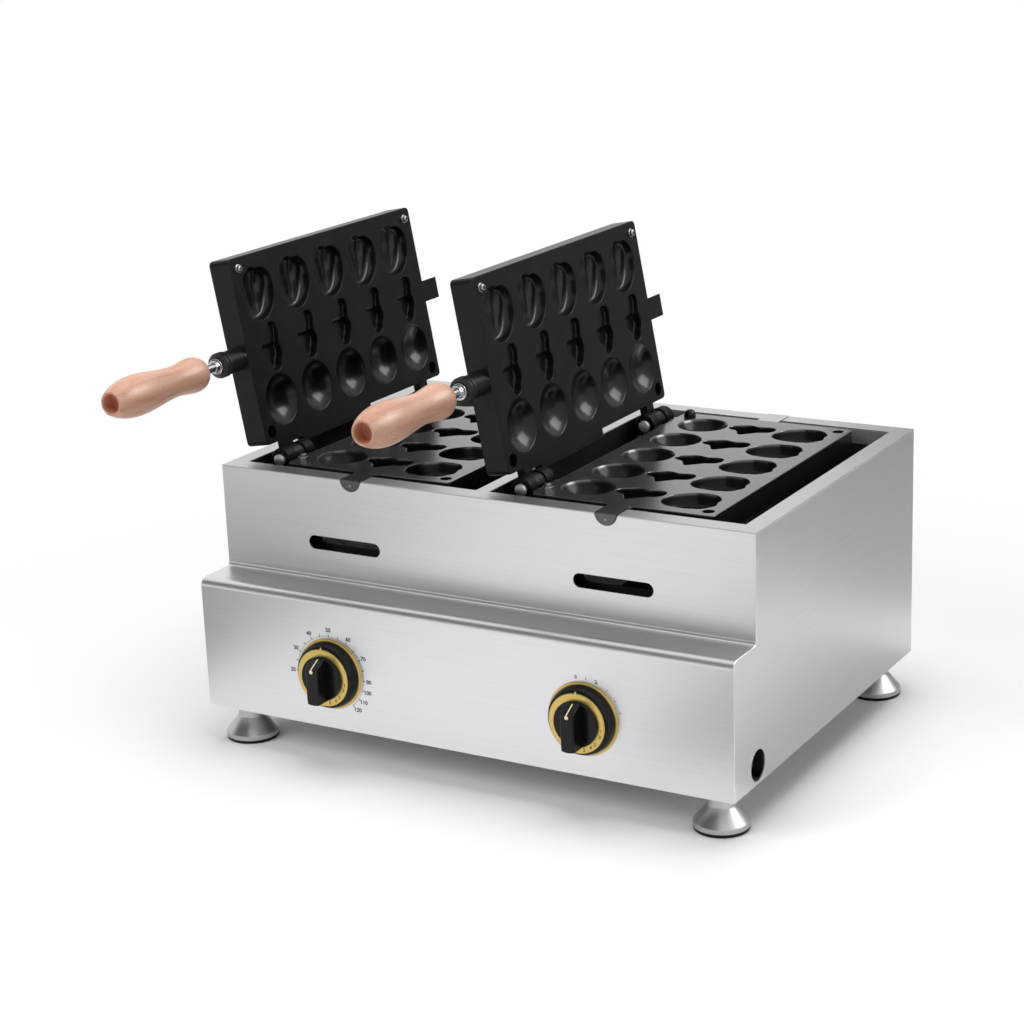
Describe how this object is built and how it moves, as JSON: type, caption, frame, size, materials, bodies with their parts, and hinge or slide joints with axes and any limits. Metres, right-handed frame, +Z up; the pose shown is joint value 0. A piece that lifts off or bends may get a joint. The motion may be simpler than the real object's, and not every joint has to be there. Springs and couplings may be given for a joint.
{
  "type": "countertop two-station waffle machine",
  "caption": "Countertop gas waffle machine: two hinged cast mould pairs with wooden handles in a stepped stainless housing with dials and cone feet.",
  "frame": {"origin": "on the counter under the centre of the housing's footprint, at the level of the feet's undersides", "axes": "+X to the operator's right, +Y to the back, +Z up; the dials face -Y"},
  "size_m": [0.5806, 0.536, 0.4621],
  "materials": {
    "brushed_steel": "horizontally brushed stainless sheet, 1.2 mm",
    "blackened_sheet": "heat-resistant matt black over steel",
    "steel_parts": "plain turned stainless",
    "spring_steel": "dark tempered steel",
    "chrome": "polished",
    "nonstick_casting": "cast aluminium with a semi-gloss black non-stick coating",
    "black_oxide": "blackened steel, satin",
    "cast_burner": "heat-darkened tube",
    "brass": "machined brass",
    "gold_ring": "gold hot-foil ring",
    "dial_black": "glossy black moulded plastic",
    "cream_inlay": "cream paint inlay",
    "beech": "turned beech, clear lacquer"
  },
  "bodies": {
    "housing": {"front_panel": "brushed_steel", "left_side_panel": "brushed_steel", "right_side_panel": "brushed_steel", "rear_panel": "brushed_steel", "rear_panel_screws": "steel_parts", "bottom_panel": "brushed_steel", "top_frame": "brushed_steel", "bay_liner_left": "blackened_sheet", "bay_liner_right": "blackened_sheet", "heat_shield": "brushed_steel", "rest_bars": "blackened_sheet", "burner_left": "cast_burner", "burner_right": "cast_burner", "burner_brackets": "brushed_steel", "manifold_pipe": "brass", "gas_inlet_fitting": "brass", "valve_body_left": "brass", "valve_body_right": "brass", "injector_left": "brass", "injector_right": "brass", "dial_skirt_left": "dial_black", "dial_skirt_right": "dial_black", "dial_rim_left": "gold_ring", "dial_rim_right": "gold_ring", "foot_front_left": "chrome", "foot_front_right": "chrome", "foot_rear_left": "chrome", "foot_rear_right": "chrome", "foot_studs": "steel_parts", "foot_lock_nuts": "steel_parts"},
    "mould_left": {"lower_mould_left": "nonstick_casting", "hinge_pins_left": "steel_parts", "hinge_clips_left": "spring_steel", "plate_studs_left": "steel_parts", "dome_nut_left": "black_oxide"},
    "lid_left": {"upper_mould_left": "nonstick_casting", "lid_studs_left": "steel_parts", "handle_rod_left": "chrome", "handle_collar_left": "black_oxide", "handle_nut_left": "chrome", "wood_grip_left": "beech"},
    "dial_left": {"knob_left": "dial_black", "knob_ring_left": "gold_ring", "knob_pointer_left": "cream_inlay", "valve_stem_left": "steel_parts"},
    "mould_right": {"lower_mould_right": "nonstick_casting", "hinge_pins_right": "steel_parts", "hinge_clips_right": "spring_steel", "plate_studs_right": "steel_parts", "dome_nut_right": "black_oxide"},
    "lid_right": {"upper_mould_right": "nonstick_casting", "lid_studs_right": "steel_parts", "handle_rod_right": "chrome", "handle_collar_right": "black_oxide", "handle_nut_right": "chrome", "wood_grip_right": "beech"},
    "dial_right": {"knob_right": "dial_black", "knob_ring_right": "gold_ring", "knob_pointer_right": "cream_inlay", "valve_stem_right": "steel_parts"}
  },
  "joints": [
    {"name": "mould_left_lift", "type": "slide", "parent": "housing", "child": "mould_left", "axis": [0, 0, 1], "range_m": [0, 0.06]},
    {"name": "lid_left_hinge", "type": "hinge", "parent": "mould_left", "child": "lid_left", "pos_m": [-0.24, 0.0235, 0.2665], "axis": [0, 1, 0], "range_deg": [0, 100]},
    {"name": "dial_left_turn", "type": "hinge", "parent": "housing", "child": "dial_left", "pos_m": [-0.1345, -0.209, 0.0925], "axis": [0, 1, 0], "range_deg": [0, 270]},
    {"name": "mould_right_lift", "type": "slide", "parent": "housing", "child": "mould_right", "axis": [0, 0, 1], "range_m": [0, 0.06]},
    {"name": "lid_right_hinge", "type": "hinge", "parent": "mould_right", "child": "lid_right", "pos_m": [0.029, 0.0235, 0.2665], "axis": [0, 1, 0], "range_deg": [0, 100]},
    {"name": "dial_right_turn", "type": "hinge", "parent": "housing", "child": "dial_right", "pos_m": [0.1345, -0.209, 0.0925], "axis": [0, 1, 0], "range_deg": [0, 270]}
  ]
}
